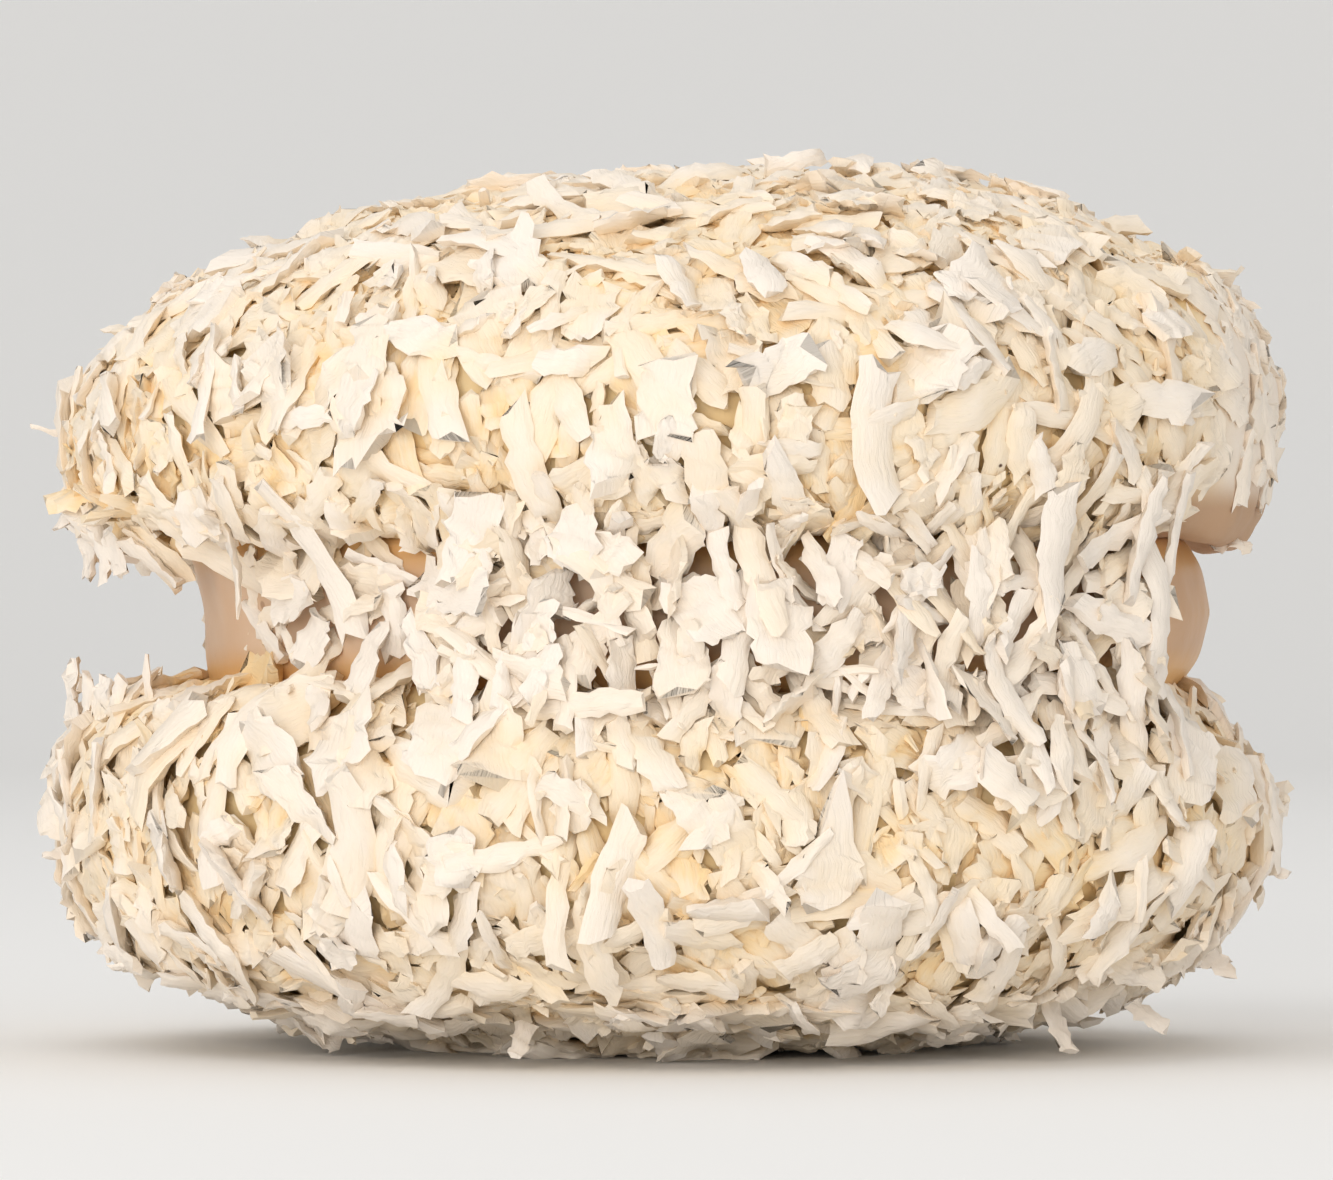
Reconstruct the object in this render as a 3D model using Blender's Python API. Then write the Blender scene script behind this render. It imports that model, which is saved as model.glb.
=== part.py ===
"""Coconut macaron: two domed shells sandwiched on a disc of cream filling.

Run with: blender --background --python part.py
Units are metres, +Z is up, and the macaron stands on a small flat spot at the origin.
The shells are taken out to the uneven outline of their coconut coat.
"""

import math

import bmesh
import bpy
from mathutils import Vector, noise

# --- Driving dimensions ------------------------------------------------------------------
LOWER_HALF_WIDTH = 0.0216  # the lower shell's half width over its coconut
UPPER_HALF_WIDTH = 0.0223  # the upper shell is a little wider
LOWER_TOP = 0.0131  # height of the lower shell's flat inner face
UPPER_FOOT = 0.0181  # height of the upper shell's flat inner face
UPPER_CROWN = 0.0315  # top of the upper shell over the axis
UPPER_SLOPE = 0.075  # rise of the crown towards +X
UPPER_ROUNDNESS = 2.15  # 2 is an ellipse, and more is a squarer shoulder
LOWER_ROUNDNESS = 2.8
UPPER_FULL_SIDE = 0.045  # how much wider the upper shell is at +X than at its middle
LOWER_FULL_SIDE = 0.04
UPPER_SHIFT = 0.0003  # the shells sit a little off each other
LOWER_SHIFT = 0.0001
UPPER_DROOP = (0.0019, 0.0011)  # how far the upper coat hangs down at its -X and +X rims
LOWER_DROOP = (0.0011, -0.0011)  # how far the lower coat stands up at them, or sags if minus
DROOP_START = 0.0204  # radius where the droop begins
DROOP_END = 0.0212  # radius where it is full
FOOT_RADIUS = 0.0100  # flat spot the lower shell rests on
FOOT_SHIFT = 0.0020  # the flat spot lies towards +X
RIM_HEIGHT = 0.0040  # from a shell's inner face out to its widest line
RIM_ROUNDNESS = 2.2
FACE_SHARE = 0.86  # the flat inner face's radius over the shell's half width
FILLING_RADIUS = 0.0180
FILLING_SHIFT = (0.0021, -0.0012)  # the cream has squeezed out towards +X and the front
FLARE = 0.0008  # how far the cream narrows and spreads again at -X
SWELL = 0.0004  # how far it bulges at +X
FACE_GAP = 0.0003  # kept between pieces that touch

# --- Mesh and relief ---------------------------------------------------------------------
SIDES = 72  # divisions round every turned piece
DOME_STEPS = 15
RIM_STEPS = 5
RELIEF_DEPTH = 0.00045  # how far coconut bumps stand out of a shell's mean surface
RELIEF_PITCH = 0.0036  # spacing of those bumps
RELIEF_FADE = 0.006  # over which they grow outwards from the crown or the foot
LOPSIDED = 0.028  # how much a shell's plan strays from a circle
LOPSIDED_PITCH = 0.016
CREAM_RELIEF = 0.00025
CREAM_PITCH = 0.0045
TINY = 1e-6


def clear_scene():
    for leftover in list(bpy.data.objects):
        bpy.data.objects.remove(leftover)


def finish_material(name, colour, roughness):
    material = bpy.data.materials.new(name)
    material.use_nodes = True
    shader = material.node_tree.nodes["Principled BSDF"]
    shader.inputs["Base Color"].default_value = (*colour, 1.0)
    shader.inputs["Roughness"].default_value = roughness
    shader.inputs["Metallic"].default_value = 0.0
    return material


def quarter_bulge(radius, height, power, steps):
    """Points of a rounded quarter, from (radius, 0) at its widest up to (0, height)."""
    points = []
    for step in range(steps + 1):
        turn = math.pi / 2 * step / steps
        across = radius * math.cos(turn) ** (2 / power)
        up = height * math.sin(turn) ** (2 / power)
        points.append((across, up))
    return points


def shell_profile(half_width, height, power, flat_radius):
    """(radius, height) pairs of a shell with its inner face at 0 and its crown at height."""
    rim = quarter_bulge(1.0, 1.0, RIM_ROUNDNESS, RIM_STEPS)
    face_radius = half_width * FACE_SHARE
    below = [
        (face_radius + (half_width - face_radius) * across, RIM_HEIGHT * (1 - up))
        for across, up in reversed(rim)
    ]
    dome = quarter_bulge(half_width, height - RIM_HEIGHT, power, DOME_STEPS)
    above = [
        (across, RIM_HEIGHT + up) for across, up in dome[1:] if across > flat_radius
    ]
    top = [(flat_radius, height), (0.0, height)] if flat_radius else [(0.0, height)]
    return [(0.0, 0.0), *below, *above, *top]


def turned(name, profile):
    """A closed mesh object turned about Z from a profile that starts and ends on the axis."""
    form = bmesh.new()
    points = [form.verts.new((radius, 0.0, height)) for radius, height in profile]
    for first, second in zip(points, points[1:]):
        form.edges.new((first, second))
    bmesh.ops.spin(
        form,
        geom=form.verts[:] + form.edges[:],
        cent=(0, 0, 0),
        axis=(0, 0, 1),
        angle=2 * math.pi,
        steps=SIDES,
        use_merge=True,
    )
    bmesh.ops.remove_doubles(form, verts=form.verts[:], dist=1e-6)
    bmesh.ops.recalc_face_normals(form, faces=form.faces[:])
    mesh = bpy.data.meshes.new(name)
    form.to_mesh(mesh)
    form.free()
    mesh.shade_smooth()
    return bpy.data.objects.new(name, mesh)


def smooth_rise(value, low, high):
    """0 below low, 1 above high, and an even S between."""
    share = min(1.0, max(0.0, (value - low) / (high - low)))
    return share * share * (3 - 2 * share)


def roughen(point, seed, depth, pitch):
    """How far the surface stands out at this point, from two scales of smooth noise."""
    where = Vector(point) / pitch + Vector((seed, seed * 2.0, seed * 3.0))
    return depth * (noise.noise(where) + 0.5 * noise.noise(where * 2.1))


def plan_scale(point, seed):
    """Width factor that makes the plan slightly uneven, the same at every height."""
    flat = Vector((point[0], point[1], 0.0)) / LOPSIDED_PITCH
    return 1 + LOPSIDED * noise.noise(flat + Vector((seed, 0.0, seed)))


def shape_shell(shell, height, seed, full_side, crown_slope=0.0, flat_radius=0.0, skew=0.0):
    """Makes a turned shell uneven: lopsided plan, sloping crown, coconut bumps.

    full_side widens the +X side and narrows the -X one. crown_slope raises the crown
    towards +X, and skew moves it that way. The inner face stays flat, and so does a flat
    spot on the crown.
    """
    mesh = shell.data
    normals = [Vector(vertex.normal) for vertex in mesh.vertices]
    widest = max(vertex.co.x for vertex in mesh.vertices)
    face_radius = widest * FACE_SHARE
    for vertex, normal in zip(mesh.vertices, normals):
        x, y, z = vertex.co
        radius = math.hypot(x, y)
        side = x / max(radius, TINY)
        off_face = max(smooth_rise(z, 0.0, RIM_HEIGHT), smooth_rise(radius, face_radius, widest))
        off_flat = smooth_rise(radius, flat_radius, flat_radius + RELIEF_FADE)
        below_crown = 1 - smooth_rise(z, height * 0.6, height)
        grow = plan_scale(vertex.co, seed) + full_side * side * below_crown
        bump = roughen(vertex.co, seed, RELIEF_DEPTH, RELIEF_PITCH) * off_face * off_flat
        slope = crown_slope * x * z / height
        aside = skew * smooth_rise(z, height * 0.75, height)
        vertex.co = Vector((x * grow + aside, y * grow, z + slope)) + normal * bump


def droop(shell, depths):
    """Takes the coat past the inner face in lobes at the -X and +X rims, by these depths."""
    for vertex in shell.data.vertices:
        x, y, z = vertex.co
        radius = math.hypot(x, y)
        near_rim = smooth_rise(radius, DROOP_START, DROOP_END)
        facing = smooth_rise(abs(x) / max(radius, TINY), 0.75, 0.97)
        depth = depths[0] if x < 0 else depths[1]
        low = 1 - smooth_rise(z, RIM_HEIGHT * 0.3, RIM_HEIGHT)
        vertex.co.z -= depth * near_rim * facing * low


def upper_shell():
    """Shell with its crown up, highest and fullest towards +X."""
    height = UPPER_CROWN - UPPER_FOOT
    profile = shell_profile(UPPER_HALF_WIDTH, height, UPPER_ROUNDNESS, 0.0)
    shell = turned("top_shell", profile)
    shape_shell(shell, height, 3.7, UPPER_FULL_SIDE, crown_slope=UPPER_SLOPE)
    droop(shell, UPPER_DROOP)
    shell.location = (UPPER_SHIFT, 0.0, UPPER_FOOT)
    return shell


def lower_shell():
    """Shell with its crown down, resting on a flat spot."""
    profile = shell_profile(LOWER_HALF_WIDTH, LOWER_TOP, LOWER_ROUNDNESS, FOOT_RADIUS)
    shell = turned("bottom_shell", profile)
    shape_shell(shell, LOWER_TOP, 8.2, LOWER_FULL_SIDE, flat_radius=FOOT_RADIUS, skew=FOOT_SHIFT)
    droop(shell, LOWER_DROOP)
    for vertex in shell.data.vertices:
        vertex.co.z = max(0.0, LOWER_TOP - vertex.co.z)
    shell.data.flip_normals()
    shell.location.x = LOWER_SHIFT
    return shell


def filling():
    """Disc of cream, narrow-waisted at -X, bulging at +X, with smooth uneven sides."""
    low = LOWER_TOP + FACE_GAP
    high = UPPER_FOOT - FACE_GAP
    thickness = high - low
    bulge = ((0.0, 0.0), (0.0, 0.965), (0.2, 1.0), (0.5, 1.01), (0.8, 0.995), (1.0, 0.965))
    profile = [(FILLING_RADIUS * share, thickness * up) for up, share in bulge]
    profile.append((0.0, thickness))
    disc = turned("filling", profile)
    for vertex in disc.data.vertices:
        x, y, z = vertex.co
        radius = math.hypot(x, y)
        at_side = smooth_rise(radius, FILLING_RADIUS * 0.8, FILLING_RADIUS * 0.96)
        side = x / max(radius, TINY)
        level = z / thickness
        flare = FLARE * max(0.0, -side) * (level**2 - math.sin(math.pi * level))
        swell = SWELL * max(0.0, side) * math.sin(math.pi * level)
        bump = roughen(vertex.co, 5.1, CREAM_RELIEF, CREAM_PITCH)
        out = at_side * (flare + swell + bump)
        vertex.co.x += x / max(radius, TINY) * out
        vertex.co.y += y / max(radius, TINY) * out
    disc.location = (*FILLING_SHIFT, low)
    return disc


def centre_on_base(pieces):
    """Moves the pieces together so that their common box is centred on the Z axis."""
    corners = [piece.location + vertex.co for piece in pieces for vertex in piece.data.vertices]
    for axis in (0, 1):
        values = [corner[axis] for corner in corners]
        middle = (min(values) + max(values)) / 2
        for piece in pieces:
            piece.location[axis] -= middle


def main():
    clear_scene()
    macaron = bpy.data.collections.new("macaron")
    bpy.context.scene.collection.children.link(macaron)
    coconut = finish_material("coconut_coat", (0.87, 0.76, 0.57), 0.75)
    cream = finish_material("cream_filling", (0.56, 0.33, 0.19), 0.45)
    pieces = [lower_shell(), filling(), upper_shell()]
    for piece, material in zip(pieces, (coconut, cream, coconut)):
        piece.data.materials.append(material)
        macaron.objects.link(piece)
    centre_on_base(pieces)


main()
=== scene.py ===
import math

import bmesh
import bpy
import numpy as np
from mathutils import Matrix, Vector, noise
from mathutils.bvhtree import BVHTree
from mathutils.kdtree import KDTree


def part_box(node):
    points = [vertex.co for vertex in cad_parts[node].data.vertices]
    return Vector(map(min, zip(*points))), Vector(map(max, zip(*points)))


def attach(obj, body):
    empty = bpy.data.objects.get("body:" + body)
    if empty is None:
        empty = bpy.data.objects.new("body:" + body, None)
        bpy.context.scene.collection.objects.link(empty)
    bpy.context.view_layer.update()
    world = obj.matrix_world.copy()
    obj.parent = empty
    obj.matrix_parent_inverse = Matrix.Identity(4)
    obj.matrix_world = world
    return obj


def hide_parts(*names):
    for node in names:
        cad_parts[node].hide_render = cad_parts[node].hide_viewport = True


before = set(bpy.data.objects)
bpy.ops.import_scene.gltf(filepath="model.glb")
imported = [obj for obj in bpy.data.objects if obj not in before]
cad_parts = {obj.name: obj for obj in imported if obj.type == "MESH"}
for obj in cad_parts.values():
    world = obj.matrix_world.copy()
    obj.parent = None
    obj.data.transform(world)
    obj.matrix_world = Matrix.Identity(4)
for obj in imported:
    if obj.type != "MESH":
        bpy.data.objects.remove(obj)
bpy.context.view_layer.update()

# === Studio ================================================================================
# The macaron stands on a pale table whose far edge curves up into the wall behind it.
# Soft lamps hang at the upper left and overhead, two stand low in front, a weak one fills
# from the right, and the white room does the rest. The camera looks in level through a long
# lens.
CAMERA_DISTANCE = 0.32
VIEW_WIDTH = 0.04799  # how much of the macaron's middle plane the picture takes in
VIEW_X = -0.0002
VIEW_Z = 0.0164
SENSOR = 36.0

camera = bpy.data.objects.new("camera", bpy.data.cameras.new("camera"))
camera.data.sensor_width = SENSOR
camera.data.lens = SENSOR * CAMERA_DISTANCE / VIEW_WIDTH
camera.data.clip_start = 0.01
camera.data.clip_end = 20.0
camera.location = (VIEW_X, -CAMERA_DISTANCE, VIEW_Z)
camera.rotation_euler = (math.pi / 2, 0.0, 0.0)
bpy.context.scene.collection.objects.link(camera)
bpy.context.scene.camera = camera
bpy.context.scene.view_settings.view_transform = "Standard"


def soft_lamp(name, place, size, power, colour):
    """A square lamp at place, turned to face the macaron."""
    lamp = bpy.data.lights.new(name, "AREA")
    lamp.size = size
    lamp.energy = power
    lamp.color = colour
    holder = bpy.data.objects.new(name, lamp)
    holder.location = place
    aim = Vector((0.0, 0.0, 0.016)) - Vector(place)
    holder.rotation_euler = aim.to_track_quat("-Z", "Y").to_euler()
    bpy.context.scene.collection.objects.link(holder)


soft_lamp("key_lamp", (-0.28, -0.26, 0.42), 0.34, 0.45, (1.0, 0.985, 0.98))
soft_lamp("top_lamp", (0.0, 0.14, 0.55), 0.40, 0.46, (1.0, 0.99, 0.98))
soft_lamp("front_lamp", (-0.12, -0.53, 0.06), 0.25, 0.40, (1.0, 0.97, 0.93))
soft_lamp("fill_lamp", (0.42, -0.34, 0.20), 0.40, 0.16, (1.0, 0.96, 0.90))
soft_lamp("low_lamp", (-0.16, -0.47, 0.025), 0.30, 1.06, (1.0, 0.98, 0.95))

room = bpy.data.worlds.new("room")
bpy.context.scene.world = room
room.use_nodes = True
room.node_tree.nodes["Background"].inputs["Color"].default_value = (1.0, 0.995, 0.985, 1.0)
room.node_tree.nodes["Background"].inputs["Strength"].default_value = 0.60

table_form = bmesh.new()
TABLE_FRONT = -0.9
TABLE_BACK = 0.5
WALL_CURVE = 0.25
WALL_TOP = 1.2
TABLE_HALF = 1.6
profile = [(TABLE_FRONT, 0.0), (TABLE_BACK, 0.0)]
for step in range(1, 17):
    turn = math.pi / 2 * step / 16
    profile.append((TABLE_BACK + WALL_CURVE * math.sin(turn), WALL_CURVE * (1 - math.cos(turn))))
profile.append((TABLE_BACK + WALL_CURVE, WALL_TOP))
near_row = [table_form.verts.new((-TABLE_HALF, y, z)) for y, z in profile]
far_row = [table_form.verts.new((TABLE_HALF, y, z)) for y, z in profile]
for i in range(len(profile) - 1):
    table_form.faces.new((near_row[i], far_row[i], far_row[i + 1], near_row[i + 1]))
table_mesh = bpy.data.meshes.new("table")
table_form.to_mesh(table_mesh)
table_form.free()
table_mesh.shade_smooth()
table = bpy.data.objects.new("table", table_mesh)
bpy.context.scene.collection.objects.link(table)
pale = bpy.data.materials.new("pale_table")
pale.use_nodes = True
pale_shader = pale.node_tree.nodes["Principled BSDF"]
pale_shader.inputs["Base Color"].default_value = (0.93, 0.925, 0.915, 1.0)
pale_shader.inputs["Roughness"].default_value = 0.9
pale_shader.inputs["Specular IOR Level"].default_value = 0.1
table_mesh.materials.append(pale)


# === Shells ================================================================================
# Two domed shells of soft pale-gold batter, one crown up and one crown down. Hardly
# anything of them shows but at the bare end at +X: the rest is under coconut that was
# pressed on while they were sticky, so each one is smaller than the macaron's outline.
COAT_DEPTH = 0.00090  # how far a shell's surface lies under the coconut's mean surface
SHELL_VOXEL = 0.00032
LUMP_DEPTH = 0.00022
LUMPS_PER_METRE = 480.0


class Wire:
    """A socket of a node tree. Sums written with it add Math nodes, and new() any other node."""

    def __init__(self, tree, socket=None):
        self.tree = tree
        self.socket = socket

    def new(self, kind, settings=(), sockets=(), output=0):
        node = self.tree.nodes.new(kind)
        for name, value in dict(settings).items():
            if name == "stops":
                for extra in value[2:]:
                    node.color_ramp.elements.new(extra[0])
                for element, (place, colour) in zip(node.color_ramp.elements, value):
                    element.position = place
                    element.color = colour
            else:
                setattr(node, name, value)
        for name, value in dict(sockets).items():
            if isinstance(value, Wire):
                self.tree.links.new(value.socket, node.inputs[name])
            else:
                node.inputs[name].default_value = value
        return Wire(self.tree, node.outputs[output])

    def maths(self, operation, *operands):
        return self.new("ShaderNodeMath", {"operation": operation}, enumerate(operands))

    def __add__(self, other):
        return self.maths("ADD", self, other)

    def __sub__(self, other):
        return self.maths("SUBTRACT", self, other)

    def __rsub__(self, other):
        return self.maths("SUBTRACT", other, self)

    def __mul__(self, other):
        return self.maths("MULTIPLY", self, other)

    def __truediv__(self, other):
        return self.maths("DIVIDE", self, other)

    __radd__ = __add__
    __rmul__ = __mul__

    def clamped(self):
        return self.maths("MINIMUM", self.maths("MAXIMUM", self, 0.0), 1.0)

    def rise(self, low, high):
        """0 where the value is under low, 1 over high, and an even S between."""
        sockets = {"Value": self, "From Min": low, "From Max": high}
        return self.new("ShaderNodeMapRange", {"interpolation_type": "SMOOTHSTEP"}, sockets)

    def vector(self, operation, *operands):
        return self.new("ShaderNodeVectorMath", {"operation": operation}, enumerate(operands))

    def scaled(self, vector, factor):
        sockets = {"Vector": vector, "Scale": factor}
        return self.new("ShaderNodeVectorMath", {"operation": "SCALE"}, sockets)

    def colour(self, factor, first, second):
        """first where factor is 0 and second where it is 1."""
        return self.new("ShaderNodeMix", {"data_type": "RGBA"}, {0: factor, 6: first, 7: second}, 2)

    def noise(self, place, scale, detail=2.0, roughness=0.5):
        sockets = {"Vector": place, "Scale": scale, "Detail": detail, "Roughness": roughness}
        return self.new("ShaderNodeTexNoise", (), sockets)

    def bump(self, height, distance, strength=1.0):
        sockets = {"Height": height, "Distance": distance, "Strength": strength}
        return self.new("ShaderNodeBump", (), sockets)


def food_material(name):
    """A new material, its Principled shader's sockets, and a Wire to build its nodes with."""
    material = bpy.data.materials.new(name)
    material.use_nodes = True
    shader = material.node_tree.nodes["Principled BSDF"]
    shader.inputs["IOR"].default_value = 1.45
    return material, shader.inputs, Wire(material.node_tree)


def feed(tree, wire, socket):
    tree.links.new(wire.socket, socket)


def even_copy(node, name, voxel):
    """A copy of a CAD solid in small even faces, as plain mesh in a new object."""
    form = bmesh.new()
    form.from_mesh(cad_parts[node].data)
    bmesh.ops.remove_doubles(form, verts=form.verts[:], dist=1e-6)
    mesh = bpy.data.meshes.new(name)
    form.to_mesh(mesh)
    form.free()
    piece = bpy.data.objects.new(name, mesh)
    bpy.context.scene.collection.objects.link(piece)
    even = piece.modifiers.new("even", "REMESH")
    even.mode = "VOXEL"
    even.voxel_size = voxel
    soften = piece.modifiers.new("soften", "SMOOTH")
    soften.iterations = 8
    return plain(piece)


def plain(piece):
    """Turns what the modifiers give into the piece's own mesh, and takes them off."""
    seen = piece.evaluated_get(bpy.context.evaluated_depsgraph_get())
    mesh = bpy.data.meshes.new_from_object(seen)
    piece.modifiers.clear()
    piece.data = mesh
    return piece


def array_of(items, name, width):
    values = np.empty(len(items) * width)
    items.foreach_get(name, values)
    return values.reshape(-1, width)


def smooth_rise(value, low, high):
    share = np.clip((value - low) / (high - low), 0.0, 1.0)
    return share * share * (3 - 2 * share)


upper_low, upper_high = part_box("top_shell")
filling_low, filling_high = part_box("filling")
RIM_RADIUS = (upper_high.x - upper_low.x) / 2
FACE_RADIUS = 0.0183  # the coat stops here on the shells' inner faces
INNER_UP = filling_high.z  # height of the upper shell's inner face
INNER_LOW = filling_low.z


def bare_end(places):
    """1 in the middle of the upper shell's bare patch, at +X, and 0 outside it."""
    x, y, z = places.T
    turned = np.degrees(np.arctan2(np.abs(y), x))
    low = 1 - smooth_rise(z, upper_high.z - 0.0050, upper_high.z - 0.0025)
    return (1 - smooth_rise(turned, 22.0, 36.0)) * low * (z > INNER_UP - 0.0015)


def coat_cover(places, is_upper):
    """How thick the coat is over each place, as a share of its full depth."""
    x, y, z = places.T
    radius = np.hypot(x, y)
    to_face = np.abs(z - (INNER_UP if is_upper else INNER_LOW))
    off_face = np.maximum(
        smooth_rise(radius, FACE_RADIUS - 0.0008, FACE_RADIUS + 0.0008),
        smooth_rise(to_face, 0.0015, 0.0030),
    )
    if is_upper:
        return off_face * (1 - 0.65 * bare_end(places))
    return off_face


def smaller_shell(node, name, is_upper):
    shell = even_copy(node, name, SHELL_VOXEL)
    places = array_of(shell.data.vertices, "co", 3)
    normals = array_of(shell.data.vertex_normals, "vector", 3)
    depth = COAT_DEPTH * coat_cover(places, is_upper)
    spots = [Vector(place) * LUMPS_PER_METRE for place in places]
    lumps = np.array([noise.noise(spot) for spot in spots]) * LUMP_DEPTH
    places += normals * (lumps - depth)[:, None]
    shell.data.vertices.foreach_set("co", places.ravel())
    shell.data.shade_smooth()
    shell.data.update()
    return shell


batter, batter_sockets, wire = food_material("golden_batter")
place = wire.new("ShaderNodeTexCoord", (), (), "Object")
px = wire.new("ShaderNodeSeparateXYZ", (), {"Vector": place}, "X")
pz = wire.new("ShaderNodeSeparateXYZ", (), {"Vector": place}, "Z")
blotch = wire.noise(place, 260.0, 3.0)
grit = wire.noise(place, 1500.0, 3.0, 0.6)
gold = wire.colour(blotch.rise(0.35, 0.65), (0.95, 0.71, 0.37, 1.0), (0.96, 0.77, 0.45, 1.0))
cream = wire.colour(grit, (0.90, 0.77, 0.64, 1.0), (0.94, 0.85, 0.74, 1.0))
at_end = px.rise(0.0175, 0.0200) * pz.rise(0.0178, 0.0200)
skin = wire.colour(at_end, gold, cream)
# Painted shade: the batter turns dark tan on the underside of the upper shell's end at +X, where
# shade falls.
under = px.rise(0.0120, 0.0150) * (1 - pz.rise(0.0192, 0.0206)) * pz.rise(0.0140, 0.0150)
skin = wire.colour(under, skin, (0.52, 0.33, 0.20, 1.0))
feed(batter.node_tree, skin, batter_sockets["Base Color"])
feed(batter.node_tree, 0.72 + 0.2 * (grit - 0.5), batter_sockets["Roughness"])
feed(batter.node_tree, wire.bump(grit, 0.00010, 0.6), batter_sockets["Normal"])

shells = {}
for node, name, is_upper in (
    ("top_shell", "upper_batter", True),
    ("bottom_shell", "lower_batter", False),
):
    shell = smaller_shell(node, name, is_upper)
    shell.data.materials.append(batter)
    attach(shell, "root")
    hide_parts(node)
    shells[name] = shell


# === Filling ===============================================================================
# A disc of peach-tan cream between the shells. It is smooth with a soft sheen, narrow at
# -X and squeezed out at +X, and it shows wherever the coconut leaves a gap between the
# shells. It reaches a little into both of them.
REACH_IN = 0.0005

filling = even_copy("filling", "cream", 0.0003)
places = array_of(filling.data.vertices, "co", 3)
middle = (filling_low.z + filling_high.z) / 2
half = (filling_high.z - filling_low.z) / 2
places[:, 2] = middle + (places[:, 2] - middle) * (half + REACH_IN) / half
filling.data.vertices.foreach_set("co", places.ravel())
filling.data.shade_smooth()
cream_material, cream_sockets, wire = food_material("peach_cream")
place = wire.new("ShaderNodeTexCoord", (), (), "Object")
blotch = wire.noise(place, 220.0, 2.0)
fine = wire.noise(place, 1400.0, 3.0, 0.6)
px = wire.new("ShaderNodeSeparateXYZ", (), {"Vector": place}, "X")
# Painted highlight: the cream is lighter towards -X and keeps its darker base tone towards +X.
cream_base_tone = wire.colour(blotch.rise(0.3, 0.7), (0.58, 0.35, 0.20, 1.0), (0.66, 0.42, 0.25, 1.0))
painted_sheen_tone = wire.colour(blotch.rise(0.3, 0.7), (0.70, 0.47, 0.30, 1.0), (0.79, 0.57, 0.40, 1.0))
tone = wire.colour(px.rise(0.0080, 0.0150), painted_sheen_tone, cream_base_tone)
cells = {"Vector": place, "Scale": 900.0, "Randomness": 1.0}
dots = wire.new("ShaderNodeTexVoronoi", (), cells, "Distance")
picked = wire.noise(place, 420.0, 1.0).rise(0.60, 0.64)
speck = (1 - dots.rise(0.12, 0.20)) * picked
pz = wire.new("ShaderNodeSeparateXYZ", (), {"Vector": place}, "Z")
off_low = pz.rise(INNER_LOW, INNER_LOW + 0.0012)
off_high = 1 - pz.rise(INNER_UP - 0.0012, INNER_UP)
at_shell = 1 - off_low * off_high
# Painted shade: the cream turns deep orange where it meets the shells' inner faces.
tone = wire.colour(at_shell, tone, (0.74, 0.43, 0.18, 1.0))
toned = wire.colour(speck * 0.6, tone, (0.32, 0.15, 0.07, 1.0))
feed(cream_material.node_tree, toned, cream_sockets["Base Color"])
feed(cream_material.node_tree, 0.42 + 0.15 * (fine - 0.5), cream_sockets["Roughness"])
feed(cream_material.node_tree, wire.bump(fine, 0.00006, 0.4), cream_sockets["Normal"])
cream_sockets["Specular IOR Level"].default_value = 0.2
cream_sockets["Subsurface Weight"].default_value = 0.3
cream_sockets["Subsurface Scale"].default_value = 0.0006
cream_sockets["Subsurface Radius"].default_value = (1.0, 0.8, 0.6)
filling.data.materials.append(cream_material)
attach(filling, "root")
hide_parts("filling")


# === Coconut ===============================================================================
# Dried coconut, grated into flat shreds, curled flakes, slivers and crumbs with torn ends.
# It was sprinkled over the sticky shells and stays where it fell, piece upon piece.
SPINE_POINTS = 7  # points along each piece's middle line
chance = np.random.default_rng(42)


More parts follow.
